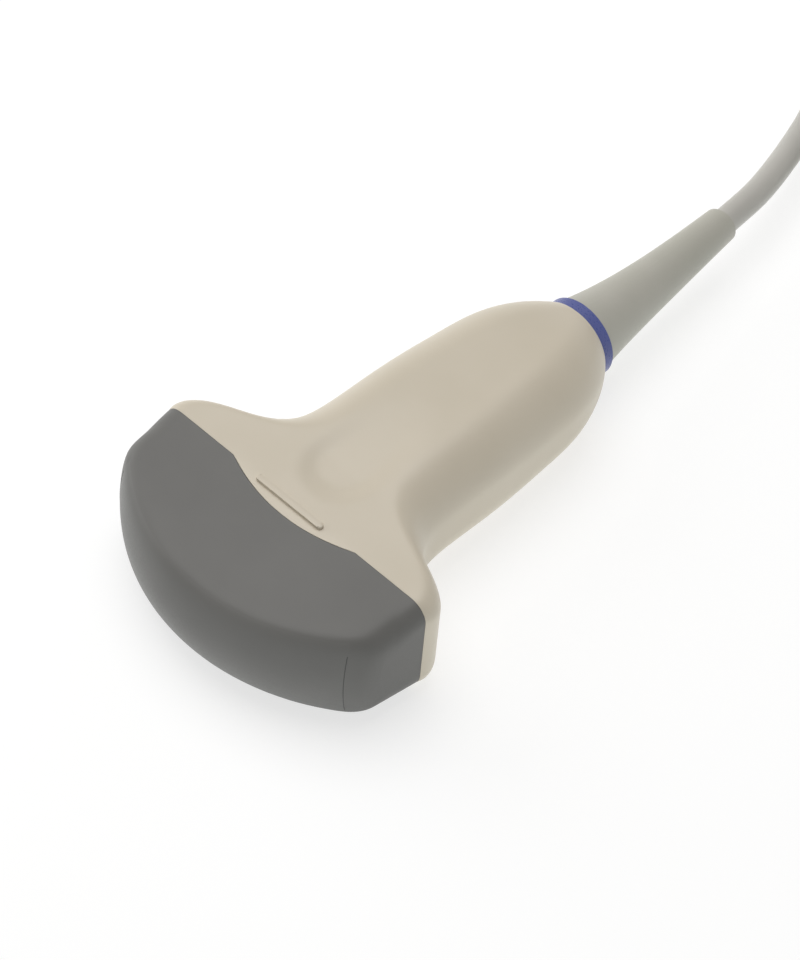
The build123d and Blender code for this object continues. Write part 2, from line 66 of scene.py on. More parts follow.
def newObject(name, mesh):
    piece = bpy.data.objects.new(name, mesh)
    scene.collection.objects.link(piece)
    return piece


def smoothStep(share):
    share = min(max(share, 0.0), 1.0)
    return share * share * (3 - 2 * share)


def smoothMesh(mesh):
    mesh.shade_smooth()
    mesh.set_sharp_from_angle(angle=crispAngle)


# The evaluated piece as a plain mesh
def plainMesh(piece):
    shown = piece.evaluated_get(bpy.context.evaluated_depsgraph_get())
    mesh = bpy.data.meshes.new_from_object(shown)
    old = piece.data
    piece.modifiers.clear()
    piece.data = mesh
    if isinstance(old, bpy.types.Mesh):
        bpy.data.meshes.remove(old)
    mesh.name = piece.name
    smoothMesh(mesh)
    return piece


# Camera: a long lens from the front right, well above the table
view = {
    "lens": 105.0, "sensor": 36.0,
    "azimuth": 40.78, "elevation": 48.72, "roll": 5.18,
    "distance": 520.29, "aside": 38.90, "above": 25.36,
    "origin": (0.0, -76.4, 13.0),  # middle of the face's edge arc
}
az, el, roll = (radians(view[k]) for k in ("azimuth", "elevation", "roll"))
back = Vector((sin(az) * cos(el), -cos(az) * cos(el), sin(el)))
level = Vector((cos(az), sin(az), 0))
upright = back.cross(level)
right = level * cos(roll) + upright * sin(roll)
up = upright * cos(roll) - level * sin(roll)
eye = Vector(view["origin"]) + back * view["distance"] + right * view["aside"] + up * view["above"]
cameraData = bpy.data.cameras.new("camera")
cameraData.lens = view["lens"]
cameraData.sensor_width = view["sensor"]
camera = bpy.data.objects.new("camera", cameraData)
turn = Matrix((right, up, back)).transposed().to_4x4()
camera.matrix_world = Matrix.Translation(eye * mm) @ turn
scene.collection.objects.link(camera)
scene.camera = camera
print("camera at", [round(v, 4) for v in camera.matrix_world.translation])


# A new material with its shader and the place on the piece
def startFinish(name):
    material = bpy.data.materials.new(name)
    material.use_nodes = True
    tree = material.node_tree
    place = addNode(tree, "ShaderNodeTexCoord").outputs["Object"]
    return material, tree, tree.nodes["Principled BSDF"], place


def linkFinish(tree, shader, tint, gloss, bump):
    tree.links.new(tint.outputs["Color"], shader.inputs["Base Color"])
    tree.links.new(gloss.outputs["Result"], shader.inputs["Roughness"])
    tree.links.new(bump.outputs["Normal"], shader.inputs["Normal"])


# Moulded plastics and rubbers: grain from the mould's spark-eroded wall, faint flow in colour
def mouldedFinish(name, look):
    material, tree, shader, place = startFinish(name)
    grain = addNode(tree, "ShaderNodeTexNoise", {
        "Vector": place, "Scale": 1 / (look["grainMm"] * mm), "Detail": 2.0, "Roughness": 0.55})
    flow = addNode(tree, "ShaderNodeTexNoise", {
        "Vector": place, "Scale": 1 / (look["flowMm"] * mm), "Detail": 3.0})
    tint = addNode(tree, "ShaderNodeValToRGB", {"Fac": flow.outputs["Fac"]})
    for stop, at, colour in zip(tint.color_ramp.elements, noiseSpan, look["colours"]):
        stop.position = at
        stop.color = hexLinear(colour)
    gloss = addNode(tree, "ShaderNodeMapRange", {
        "Value": grain.outputs["Fac"], "From Min": noiseSpan[0], "From Max": noiseSpan[1],
        "To Min": look["roughness"][0], "To Max": look["roughness"][1]})
    bump = addNode(tree, "ShaderNodeBump", {
        "Height": grain.outputs["Fac"], "Strength": look["grainStrength"],
        "Distance": look["grainMm"] * mm * grainDepth})
    linkFinish(tree, shader, tint, gloss, bump)
    shader.inputs["IOR"].default_value = look["ior"]
    shader.inputs["Specular IOR Level"].default_value = look["specular"]
    return material


# Metals: turning or casting marks as fine streaks in colour and gloss
def metalFinish(name, look):
    material, tree, shader, place = startFinish(name)
    spread = addNode(tree, "ShaderNodeMapping", {"Vector": place, "Scale": look["streak"]})
    marks = addNode(tree, "ShaderNodeTexNoise", {
        "Vector": spread.outputs["Vector"], "Scale": 1 / (look["markMm"] * mm), "Detail": 3.0})
    gloss = addNode(tree, "ShaderNodeMapRange", {
        "Value": marks.outputs["Fac"], "From Min": noiseSpan[0], "From Max": noiseSpan[1],
        "To Min": look["roughness"][0], "To Max": look["roughness"][1]})
    tint = addNode(tree, "ShaderNodeValToRGB", {"Fac": marks.outputs["Fac"]})
    for stop, colour in zip(tint.color_ramp.elements, look["colours"]):
        stop.color = hexLinear(colour)
    bump = addNode(tree, "ShaderNodeBump", {
        "Height": marks.outputs["Fac"], "Strength": look["markStrength"],
        "Distance": look["markMm"] * mm * grainDepth})
    linkFinish(tree, shader, tint, gloss, bump)
    shader.inputs["Metallic"].default_value = 1.0
    return material


finishes = {
    # ABS, spark-eroded mould: warm beige, satin, grain only just seen
    "shellAbs": {"colours": ("#c5bba8", "#cac0ae"), "grainMm": 0.35, "flowMm": 22.0,
                 "grainStrength": 0.10, "roughness": (0.33, 0.41), "ior": 1.53, "specular": 0.45},
    # PBT, fine satin: warm grey, a little duller than the handle
    "nosePbt": {"colours": ("#646360", "#696865"), "grainMm": 0.30, "flowMm": 18.0,
                "grainStrength": 0.08, "roughness": (0.40, 0.48), "ior": 1.55, "specular": 0.24},
    # Cast silicone: the same grey, smooth and slightly soft in its highlights
    "lensSilicone": {"colours": ("#656461", "#696865"), "grainMm": 0.5, "flowMm": 14.0,
                     "grainStrength": 0.04, "roughness": (0.38, 0.45), "ior": 1.41, "specular": 0.45},
    # PBT, polished mould: strong blue with a clear highlight
    "ringPbt": {"colours": ("#394486", "#424d8d"), "grainMm": 0.4, "flowMm": 6.0,
                "grainStrength": 0.04, "roughness": (0.26, 0.32), "ior": 1.55, "specular": 0.5},
    # Thermoplastic elastomer: greyer and duller than the shell
    "bootElastomer": {"colours": ("#acaa9f", "#b2afa5"), "grainMm": 0.4, "flowMm": 12.0,
                      "grainStrength": 0.12, "roughness": (0.46, 0.56), "ior": 1.50, "specular": 0.35},
    # Extruded PVC jacket: pale grey with a soft sheen along its length
    "jacketPvc": {"colours": ("#b1aea7", "#b8b5ae"), "grainMm": 0.5, "flowMm": 16.0,
                  "grainStrength": 0.08, "roughness": (0.40, 0.48), "ior": 1.53, "specular": 0.4},
    # ABS hood of the plug, same mould finish as the handle
    "hoodAbs": {"colours": ("#c4baa8", "#c9c0af"), "grainMm": 0.35, "flowMm": 25.0,
                "grainStrength": 0.12, "roughness": (0.38, 0.46), "ior": 1.53, "specular": 0.45},
    # Glass-filled nylon lever: grey, with a dry, slightly mottled surface
    "leverNylon": {"colours": ("#6c6c67", "#757570"), "grainMm": 0.4, "flowMm": 6.0,
                   "grainStrength": 0.18, "roughness": (0.46, 0.56), "ior": 1.53, "specular": 0.4},
    # Black PBT insulator with a matt face
    "blockPbt": {"colours": ("#1d1d1e", "#252526"), "grainMm": 0.3, "flowMm": 5.0,
                 "grainStrength": 0.12, "roughness": (0.48, 0.58), "ior": 1.55, "specular": 0.35},
    # Filled epoxy, lapped flat
    "matchingEpoxy": {"colours": ("#968f7a", "#a29b86"), "grainMm": 0.2, "flowMm": 3.0,
                      "grainStrength": 0.15, "roughness": (0.5, 0.6), "ior": 1.55, "specular": 0.35},
    # Fired and lapped piezo ceramic
    "piezoCeramic": {"colours": ("#cdc7b1", "#d6d1bd"), "grainMm": 0.15, "flowMm": 2.0,
                     "grainStrength": 0.10, "roughness": (0.42, 0.5), "ior": 1.6, "specular": 0.4},
    # Cast rubber loaded with heavy powder
    "backingRubber": {"colours": ("#4a4a4a", "#585857"), "grainMm": 0.25, "flowMm": 1.6,
                      "grainStrength": 0.25, "roughness": (0.6, 0.7), "ior": 1.45, "specular": 0.3},
    # Polyimide film: amber, glossy
    "flexFilm": {"colours": ("#a8691c", "#b97a2a"), "grainMm": 0.2, "flowMm": 4.0,
                 "grainStrength": 0.05, "roughness": (0.22, 0.3), "ior": 1.7, "specular": 0.5},
    # Solder mask over glass laminate: green with the weave showing faintly
    "boardLaminate": {"colours": ("#1d5a2c", "#256a36"), "grainMm": 0.6, "flowMm": 1.2,
                      "grainStrength": 0.15, "roughness": (0.28, 0.36), "ior": 1.55, "specular": 0.5},
    # Black moulded frame
    "carrierNylon": {"colours": ("#232324", "#2b2b2c"), "grainMm": 0.3, "flowMm": 5.0,
                     "grainStrength": 0.15, "roughness": (0.5, 0.6), "ior": 1.53, "specular": 0.35},
    # Bundled fine coaxial wires with white jackets
    "coaxWires": {"colours": ("#cfcbc0", "#ddd9cf"), "grainMm": 0.6, "flowMm": 0.8,
                  "grainStrength": 0.5, "roughness": (0.4, 0.5), "ior": 1.45, "specular": 0.4},
    # Silicone adhesive in the seam: darker than the lens, dull
    "seamAdhesive": {"colours": ("#4a4a48", "#51514f"), "grainMm": 0.3, "flowMm": 3.0,
                     "grainStrength": 0.05, "roughness": (0.5, 0.6), "ior": 1.41, "specular": 0.3},
    # Woven nylon hook-and-loop tape, black with a dusty nap
    "tieNylon": {"colours": ("#202021", "#2f2f31"), "grainMm": 0.5, "flowMm": 0.9,
                 "grainStrength": 0.8, "roughness": (0.75, 0.9), "ior": 1.53, "specular": 0.25},
}
metals = {
    # Die-cast zinc, nickel plated and vibro-finished
    "plugNickel": {"colours": ("#b4b2ac", "#c2c0ba"), "markMm": 0.5, "streak": (1, 1, 1),
                   "markStrength": 0.10, "roughness": (0.28, 0.38)},
    # Turned stainless steel: rings round the shaft
    "shaftSteel": {"colours": ("#a9aaab", "#c0c1c2"), "markMm": 0.3, "streak": (0.2, 0.2, 1),
                   "markStrength": 0.12, "roughness": (0.22, 0.34)},
    # Turned brass ferrule
    "clampBrass": {"colours": ("#b3934f", "#c3a463"), "markMm": 0.3, "streak": (1, 0.2, 1),
                   "markStrength": 0.10, "roughness": (0.25, 0.35)},
    # Gold flash on spring contacts
    "contactGold": {"colours": ("#c8a24c", "#d8b562"), "markMm": 0.2, "streak": (1, 1, 1),
                    "markStrength": 0.05, "roughness": (0.18, 0.26)},
}
materials = {name: mouldedFinish(name, look) for name, look in finishes.items()}
materials.update({name: metalFinish(name, look) for name, look in metals.items()})
print("materials", len(materials))

slotFinish = {
    "acoustic_lens": "lensSilicone", "nosepiece": "nosePbt", "matching_layer": "matchingEpoxy",
    "piezo_array": "piezoCeramic", "backing_block": "backingRubber", "flex_circuit_upper": "flexFilm",
    "flex_circuit_lower": "flexFilm", "board_upper": "boardLaminate", "board_lower": "boardLaminate",
    "board_carrier": "carrierNylon", "coax_bundle": "coaxWires", "cable_clamp": "clampBrass",
    "upper_shell": "shellAbs", "lower_shell": "shellAbs", "id_ring": "ringPbt",
    "strain_relief": "bootElastomer", "coil_tie": "tieNylon", "connector_boot": "bootElastomer",
    "connector_clamp": "clampBrass", "coax_tail": "coaxWires", "connector_hood": "hoodAbs",
    "plug_shell": "plugNickel", "contact_block": "blockPbt", "connector_board": "boardLaminate",
    "hood_screws": "shaftSteel", "lock_shaft": "shaftSteel", "retaining_clip": "shaftSteel",
    "lock_lever": "leverNylon",
}
for node, finish in slotFinish.items():
    nodes[node].data.materials.clear()
    nodes[node].data.materials.append(materials[finish])

# Cable: one spline from inside the boot through the coil to the plug
cableSizes = {
    "diameter": 6.0,
    "start": [(-0.3, 54.0, 13.0), (-2.2, 81.6, 12.9), (-3.7, 97.0, 12.8), (-14.0, 129.5, 11.0),
              (-26.5, 147.5, 10.8)],
    "coilCentre": (11.1, 166.5, 12.0), "coilRadius": 31.85, "layer": 7.9,
    "slots": 8, "turns": 8.0, "steps": 16, "liftTurn": 7.3, "lift": 5.3, "stopShort": 0.6,
    "sag": 1.0, "tieAngle": 78.0,
    "end": [(-28.5, 194.0, 16.0), (-17.0, 211.0, 17.0), (-7.0, 226.5, 24.5), (-4.0, 244.0, 27.0),
            (-4.0, 261.0, 27.0)],
}


def coilPoints(sizes):
    cx, cy, cz = sizes["coilCentre"]
    swell = 4 / (3 + cos(2 * pi / sizes["steps"]))  # a spline of order 3 runs inside its points
    slotStep = 2 * pi / sizes["slots"]
    stopTurn = sizes["slots"] - sizes["stopShort"]
    points = []
    for i in range(int(sizes["turns"] * sizes["steps"]) + 1):
        turn = i / sizes["steps"]
        lift = smoothStep((turn - sizes["liftTurn"]) / (sizes["turns"] - sizes["liftTurn"]))
        slotAngle = -slotStep * min(turn, stopTurn)  # the last turn stops short and lies over the first
        reach = sizes["layer"] + sizes["lift"] * lift
        radius = (sizes["coilRadius"] + reach * cos(slotAngle)) * swell
        angle = pi - 2 * pi * turn
        sag = sizes["sag"] * (1 - cos(angle - radians(sizes["tieAngle"]))) / 2  # held up only at the tie
        height = cz - sag + reach * sin(slotAngle)
        points.append((cx + radius * cos(angle), cy + radius * sin(angle), height))
    return points


cablePoints = cableSizes["start"] + coilPoints(cableSizes) + cableSizes["end"]
cableCurve = bpy.data.curves.new("cableLine", "CURVE")
cableCurve.dimensions = "3D"
spline = cableCurve.splines.new("NURBS")
spline.points.add(len(cablePoints) - 1)
for point, place in zip(spline.points, cablePoints):
    point.co = (*(Vector(place) * mm), 1.0)
spline.order_u = 3
spline.use_endpoint_u = True
spline.resolution_u = 6
cableCurve.bevel_depth = cableSizes["diameter"] / 2 * mm
cableCurve.bevel_resolution = 6
cableCurve.use_fill_caps = True
cableCurve.materials.append(materials["jacketPvc"])
cable = newObject("cableLine", cableCurve)
print("cable points", len(cablePoints))

# Handle: a fine even skin taken off the moulded halves, with a soft thumb dish in the upper one
handleSizes = {
    "axis": 13.0, "front": -50.4, "rear": 28.7, "wall": 1.9,
    "tongueHalf": 16.35, "tongueReach": 3.4,
    "rows": 130, "columns": 112, "crowding": 0.72,  # below 1 sets columns closer at the corners
    # small amounts that keep rays off the ends, the parting plane and the middle
    "inside": 0.02, "flatGap": 0.05, "endShare": 0.0004, "sideTilt": 0.002, "downTilt": 0.0005,
    "dishCentre": -37.0, "dishFront": 10.0, "dishRear": 26.0, "dishHalf": 9.4,
    "dishDepth": 0.82, "dishWall": 0.55,
}


def skinTree(node):
    tool = bmesh.new()
    tool.from_mesh(nodes[node].data)
    tree = BVHTree.FromBMesh(tool)
    tool.free()
    return tree


def tongueFront(x, sizes):
    half, reach = sizes["tongueHalf"], sizes["tongueReach"]
    radius = (half ** 2 + reach ** 2) / (2 * reach)
    if abs(x) >= half:
        return 0.0
    return (radius ** 2 - x ** 2) ** 0.5 - (radius - reach)


def dishDrop(x, y, sizes):
    along = y - sizes["dishCentre"]
    reach = sizes["dishRear" if along > 0 else "dishFront"]
    away = ((x / sizes["dishHalf"]) ** 2 + (along / reach) ** 2) ** 0.5
    side = smoothStep((1 - away) / sizes["dishWall"])
    rise = 1 - max(along, 0.0) / reach  # the floor comes up towards the rear
    return sizes["dishDepth"] * side * max(rise, 0.0)


# One half of the skin; the lower moulding has no dish or bar, so both halves are read from it
def handleHalf(name, upper, sizes):
    tree = skinTree("lower_shell")
    axis = sizes["axis"]

    def outside(y, across, down):
        way = Vector((across, 0, -down)).normalized()
        start = Vector((0, y, axis)) + way * farOff
        hit = tree.ray_cast(start * mm, -way)[0]
        return hit / mm if hit else None

    def spans(y):
        wide = outside(y, 1.0, sizes["sideTilt"])
        deep = outside(y, sizes["downTilt"], 1.0)
        return wide.x, axis - deep.z

    joint = sizes["front"] + sizes["inside"]
    rear = sizes["rear"] - sizes["inside"]
    grid = []
    for c in range(sizes["columns"] + 1):
        turn = pi * (sizes["endShare"] + (1 - 2 * sizes["endShare"]) * c / sizes["columns"])
        across = copysign(abs(cos(turn)) ** sizes["crowding"], cos(turn))
        down = abs(sin(turn)) ** sizes["crowding"]
        wide, deep = spans(joint)
        edge = outside(joint, across * wide, down * deep)
        onFlat = deep - (axis - edge.z) < sizes["flatGap"]
        tongue = max(tongueFront(edge.x, sizes) - sizes["inside"], 0.0) if onFlat else 0.0
        front = joint - tongue
        column = []
        for r in range(sizes["rows"] + 1):
            y = front + (rear - front) * r / sizes["rows"]
            wide, deep = spans(max(y, joint))
            point = outside(y, across * wide, down * deep)
            if c in (0, sizes["columns"]):
                point.z = axis
            if upper:
                point.z = 2 * axis - point.z - dishDrop(point.x, point.y, sizes)
            column.append(point * mm)
        grid.append(column)
    verts = [p for column in grid for p in column]
    n = sizes["rows"] + 1
    faces = []
    for c in range(sizes["columns"]):
        for r in range(sizes["rows"]):
            quad = (c * n + r, c * n + r + 1, (c + 1) * n + r + 1, (c + 1) * n + r)
            faces.append(quad if upper else quad[::-1])
    mesh = bpy.data.meshes.new(name)
    mesh.from_pydata(verts, [], faces)
    mesh.shade_smooth()
    mesh.materials.append(materials["shellAbs"])
    piece = newObject(name, mesh)
    wall = piece.modifiers.new("wall", "SOLIDIFY")
    wall.thickness = sizes["wall"] * mm
    wall.offset = -1.0
    wall.use_even_offset = False
    print(name, len(faces), "faces")
    return plainMesh(piece)


upperHandle = handleHalf("upperHandle", True, handleSizes)
lowerHandle = handleHalf("lowerHandle", False, handleSizes)

# Nose and lens: one fine skin over the head with its upper edges softened, parted again at the lens
noseSizes = {
    "axis": 13.0, "joint": -50.42, "halfWidth": 35.0, "taper": 5.0,
    "arcCentre": -30.9, "faceRadius": 45.5, "corner": 5.0, "innerHalf": 31.0,
    "lensAngle": 41.3, "lensRadius": 44.6, "core": 8.0, "soft": 1.7,
    "lensColumns": 116, "sideColumns": 7, "cornerColumns": 12, "facetColumns": 18,
    "topRows": 20, "sweepRows": 144, "noseWall": 1.6, "lensWall": 0.9,
    "softRun": 7.0, "softBand": 4.0, "leastSoft": 0.05, "softReach": 3.0,
}


# Plan of the head from its left joint to its right one: face arc, rounded corners and end facets
def noseOutline(sizes):
    tilt = radians(sizes["taper"])
    centre = Vector((0, sizes["arcCentre"]))
    facet = Vector((-sin(tilt), -cos(tilt)))
    end = Vector((sizes["halfWidth"], sizes["joint"]))
    inset = end + Vector((-cos(tilt), sin(tilt))) * sizes["corner"]
    off = inset - centre
    along = off.dot(facet)
    cornerRun = (along ** 2 - off.dot(off) + (sizes["faceRadius"] - sizes["corner"]) ** 2) ** 0.5 - along
    cornerCentre = inset + facet * cornerRun
    meet = (cornerCentre - centre).angle(Vector((0, -1)))
    lens = radians(sizes["lensAngle"])

    def onCircle(middle, radius, angle):
        return middle + Vector((sin(angle), -cos(angle))) * radius

    half = []
    n = sizes["lensColumns"] // 2
    half += [onCircle(centre, sizes["faceRadius"], lens * i / n) for i in range(n + 1)]
    n = sizes["sideColumns"]
    half += [onCircle(centre, sizes["faceRadius"], lens + (meet - lens) * i / n) for i in range(1, n + 1)]
    n = sizes["cornerColumns"]
    sweep = pi / 2 - tilt - meet
    half += [onCircle(cornerCentre, sizes["corner"], meet + sweep * i / n) for i in range(1, n + 1)]
    n = sizes["facetColumns"]
    last = half[-1]
    half += [last + (end - last) * (i / n) for i in range(1, n + 1)]
    return [Vector((-p.x, p.y)) for p in half[:0:-1]] + half


# Gaussian along a profile; its start and its lower edge stay as they are
def softenProfile(points, amount, sizes):
    band = sizes["softBand"]
    runs = [0.0]
    for a, b in zip(points, points[1:]):
        runs.append(runs[-1] + (b - a).length)
    shares = [(runs[min(i + 1, len(runs) - 1)] - runs[max(i - 1, 0)]) / 2 for i in range(len(runs))]
    result = []
    for i, point in enumerate(points):
        height = min(max((point.z - sizes["axis"] + band) / (2 * band), 0.0), 1.0)
        width = min(amount * height, runs[i] / sizes["softReach"])
        if width < sizes["leastSoft"]:
            result.append(point)
            continue
        total, weight = Vector(), 0.0
        for j, other in enumerate(points):
            gap = (runs[j] - runs[i]) / width
            if abs(gap) < sizes["softReach"]:
                part = shares[j] * exp(-gap * gap / 2)
                total += other * part
                weight += part
        result.append(total / weight)
    return result


# A closed wall behind part of a skin, shaded with the whole skin's normals
def solidSkin(name, points, normals, quads, wall, finish):
    used = sorted({i for quad in quads for i in quad})
    place = {old: new for new, old in enumerate(used)}
    n = len(used)
    verts = [points[i] for i in used] + [points[i] - normals[i] * wall * mm for i in used]
    outer = [tuple(place[i] for i in quad) for quad in quads]
    inner = [tuple(i + n for i in quad[::-1]) for quad in outer]
    sides = {pair for quad in outer for pair in zip(quad, quad[1:] + quad[:1])}
    rim = [(b, a, a + n, b + n) for a, b in sorted(sides) if (b, a) not in sides]
    mesh = bpy.data.meshes.new(name)
    mesh.from_pydata(verts, [], outer + inner + rim)
    mesh.materials.append(materials[finish])
    smoothMesh(mesh)
    shading = [Vector()] * len(mesh.loops)
    for polygon in list(mesh.polygons)[:len(outer)]:
        for loop in polygon.loop_indices:
            shading[loop] = normals[used[mesh.loops[loop].vertex_index]]
    mesh.normals_split_custom_set(shading)
    print(name, len(mesh.polygons), "faces")
    return newObject(name, mesh)


def noseSkins(sizes):
    trees = [skinTree("nosepiece"), skinTree("acoustic_lens")]
    axis = sizes["axis"]

    def outermost(start, way):
        hits = [tree.ray_cast(start * mm, way) for tree in trees]
        hits = [hit for hit in hits if hit[0]]
        return min(hits, key=lambda hit: hit[3])[0] / mm if hits else None

    outline = noseOutline(sizes)
    lengths = [0.0]
    for a, b in zip(outline, outline[1:]):
        lengths.append(lengths[-1] + (b - a).length)
    columns = []
    for place, run in zip(outline, lengths):
        x = sizes["innerHalf"] * (2 * run / lengths[-1] - 1)
        inner = Vector((x, sizes["joint"] - tongueFront(x, handleSizes)))
        inward = inner - place
        core = place + inward.normalized() * min(sizes["core"], inward.length / 2)
        out = -inward.normalized().to_3d()
        middle = core.to_3d() + Vector((0, 0, axis))
        profile = []
        for i in range(sizes["topRows"]):
            flat = (inner + (core - inner) * (i / sizes["topRows"])).to_3d()
            profile.append(outermost(flat + Vector((0, 0, axis + farOff)), Vector((0, 0, -1))))
        for i in range(sizes["sweepRows"] + 1):
            angle = pi / 2 - pi * i / sizes["sweepRows"]
            way = out * cos(angle) + Vector((0, 0, sin(angle)))
            profile.append(outermost(middle + way * farOff, -way))
        for i in range(sizes["topRows"] - 1, -1, -1):
            flat = (inner + (core - inner) * (i / sizes["topRows"])).to_3d()
            profile.append(outermost(flat + Vector((0, 0, axis - farOff)), Vector((0, 0, 1))))
        away = min(max((sizes["joint"] - place.y) / sizes["softRun"], 0.0), 1.0)  # crisp at the handle
        columns.append(softenProfile(profile, sizes["soft"] * away, sizes))
    n = len(columns[0])
    mid = len(columns) // 2
    centre = Vector((0, sizes["arcCentre"]))
    lensRows = [r for r in range(n) if (columns[mid][r].xy - centre).length > sizes["lensRadius"]]
    lensHalf = sizes["lensColumns"] // 2
    verts = [point * mm for column in columns for point in column]
    lensQuads, noseQuads = [], []
    for c in range(len(columns) - 1):
        for r in range(n - 1):
            quad = (c * n + r, c * n + r + 1, (c + 1) * n + r + 1, (c + 1) * n + r)
            inLens = mid - lensHalf <= c < mid + lensHalf and lensRows[0] <= r < lensRows[-1]
            (lensQuads if inLens else noseQuads).append(quad)
    whole = bpy.data.meshes.new("wholeSkin")
    whole.from_pydata(verts, [], lensQuads + noseQuads)
    normals = [vertex.normal.copy() for vertex in whole.vertices]
    bpy.data.meshes.remove(whole)
    return (solidSkin("noseSkin", verts, normals, noseQuads, sizes["noseWall"], "nosePbt"),
            solidSkin("lensSkin", verts, normals, lensQuads, sizes["lensWall"], "lensSilicone"))


noseSkin, lensSkin = noseSkins(noseSizes)

# Raised bar that marks one side of the head, on the tongue of the upper half
markSizes = {"length": 17.6, "width": 1.5, "aside": -0.6, "front": -51.6, "height": 0.62, "sunk": 0.5,
             "round": 0.40, "roundSteps": 4, "steps": 12}


def markBar(sizes):
    radius = sizes["width"] / 2
    reach = sizes["length"] / 2 - radius
    middle = sizes["front"] + radius
    outline = []
    for side in (1, -1):
        for i in range(sizes["steps"] + 1):
            turn = -pi / 2 + pi * i / sizes["steps"]
            x = sizes["aside"] + side * (reach + radius * cos(turn))
            outline.append((x, middle + side * radius * sin(turn)))
    tree = skinTree("lower_shell")
    low = tree.ray_cast(Vector((0, middle, -farOff)) * mm, Vector((0, 0, 1)))[0]
    skin = 2 * handleSizes["axis"] - low.z / mm  # the upper half mirrors the lower one
    tool = bmesh.new()
    floorRing = [tool.verts.new(Vector((x, y, skin - sizes["sunk"])) * mm) for x, y in outline]
    topRing = [tool.verts.new(Vector((x, y, skin + sizes["height"])) * mm) for x, y in outline]
    n = len(outline)
    for i in range(n):
        tool.faces.new((floorRing[i], floorRing[(i + 1) % n], topRing[(i + 1) % n], topRing[i]))
    top = tool.faces.new(topRing)
    tool.faces.new(floorRing[::-1])
    bmesh.ops.bevel(tool, geom=list(top.edges), offset=sizes["round"] * mm,
                    segments=sizes["roundSteps"], profile=0.5, affect="EDGES")
    bmesh.ops.recalc_face_normals(tool, faces=tool.faces)
    mesh = bpy.data.meshes.new("markBar")
    tool.to_mesh(mesh)
    tool.free()
    mesh.materials.append(materials["shellAbs"])
    smoothMesh(mesh)
    return newObject("markBar", mesh)


mark = markBar(markSizes)
print("mark bar", len(mark.data.polygons), "faces")

# Seam at each end of the lens: a thin dark line of adhesive over the face, by nodes along a path
seamSizes = {"angle": 41.25, "bow": 0.7, "arcCentre": -30.9, "axis": 13.0, "top": 7.4, "bottom": -9.6,
             "width": 0.24, "sink": 0.07, "points": 40, "sides": 8, "taperRun": 0.4, "taperStart": 0.15}


def seamPath(side, sizes):
    skin = lensSkin.data
    tree = BVHTree.FromPolygons([v.co for v in skin.vertices], [p.vertices for p in skin.polygons])
    points = []
    for i in range(sizes["points"] + 1):
        drop = sizes["top"] + (sizes["bottom"] - sizes["top"]) * i / sizes["points"]
        bow = sizes["bow"] * (1 - (drop / sizes["bottom"]) ** 2)
        angle = radians(sizes["angle"] - bow) * side
        way = Vector((sin(angle), -cos(angle), 0))
        start = Vector((0, sizes["arcCentre"], sizes["axis"] + drop)) + way * farOff
        hit = tree.ray_cast(start * mm, -way)[0]
        if hit:
            points.append(hit - way * sizes["sink"] * mm)
    return points


# A node tree that takes a path or points, one size and a finish
def startTree(name, sizeName, sizeKind):
    group = bpy.data.node_groups.new(name, "GeometryNodeTree")
    face = group.interface
    face.new_socket("Geometry", in_out="INPUT", socket_type="NodeSocketGeometry")
    size = face.new_socket(sizeName, in_out="INPUT", socket_type=sizeKind)
    finish = face.new_socket("Finish", in_out="INPUT", socket_type="NodeSocketMaterial")
    face.new_socket("Geometry", in_out="OUTPUT", socket_type="NodeSocketGeometry")
    return group, addNode(group, "NodeGroupInput"), size.identifier, finish.identifier


def endTree(group, given, shape):
    real = addNode(group, "GeometryNodeRealizeInstances", {"Geometry": shape})
    paint = addNode(group, "GeometryNodeSetMaterial", {
        "Geometry": real.outputs["Geometry"], "Material": given.outputs["Finish"]})
    addNode(group, "NodeGroupOutput", {"Geometry": paint.outputs["Geometry"]})


# The piece as its tree makes it, with the given inputs, as a plain mesh
def runTree(piece, group, inputs):
    nodesOn = piece.modifiers.new(group.name, "NODES")
    nodesOn.node_group = group
    for key, value in inputs.items():
        nodesOn[key] = value
    return plainMesh(piece)


def pathTree(name, sizes):
    group, given, width, finish = startTree(name, "Width", "NodeSocketFloat")
    line = addNode(group, "GeometryNodeMeshToCurve", {"Mesh": given.outputs["Geometry"]})
    along = addNode(group, "GeometryNodeSplineParameter")
    taper = addNode(group, "ShaderNodeMapRange", {  # thins out towards the upper edge
        "Value": along.outputs["Factor"], "From Max": sizes["taperRun"], "To Min": sizes["taperStart"]})
    line = addNode(group, "GeometryNodeSetCurveRadius", {
        "Curve": line.outputs["Curve"], "Radius": taper.outputs["Result"]})
    half = addNode(group, "ShaderNodeMath", {0: given.outputs["Width"], 1: 0.5}, operation="MULTIPLY")
    profile = addNode(group, "GeometryNodeCurvePrimitiveCircle", {
        "Resolution": sizes["sides"], "Radius": half.outputs[0]})
    tube = addNode(group, "GeometryNodeCurveToMesh", {
        "Curve": line.outputs["Curve"], "Profile Curve": profile.outputs["Curve"], "Fill Caps": True})
    endTree(group, given, tube.outputs["Mesh"])
    return group, width, finish


def lensSeam(sizes):
    verts, edges = [], []
    for side in (1, -1):
        points = seamPath(side, sizes)
        edges += [(len(verts) + i, len(verts) + i + 1) for i in range(len(points) - 1)]
        verts += points
    mesh = bpy.data.meshes.new("lensSeam")
    mesh.from_pydata(verts, edges, [])
    piece = newObject("lensSeam", mesh)
    group, width, finish = pathTree("seamAlongPath", sizes)
    return runTree(piece, group, {width: sizes["width"] * mm, finish: materials["seamAdhesive"]})


seam = lensSeam(seamSizes)
print("lens seam", len(seam.data.polygons), "faces")

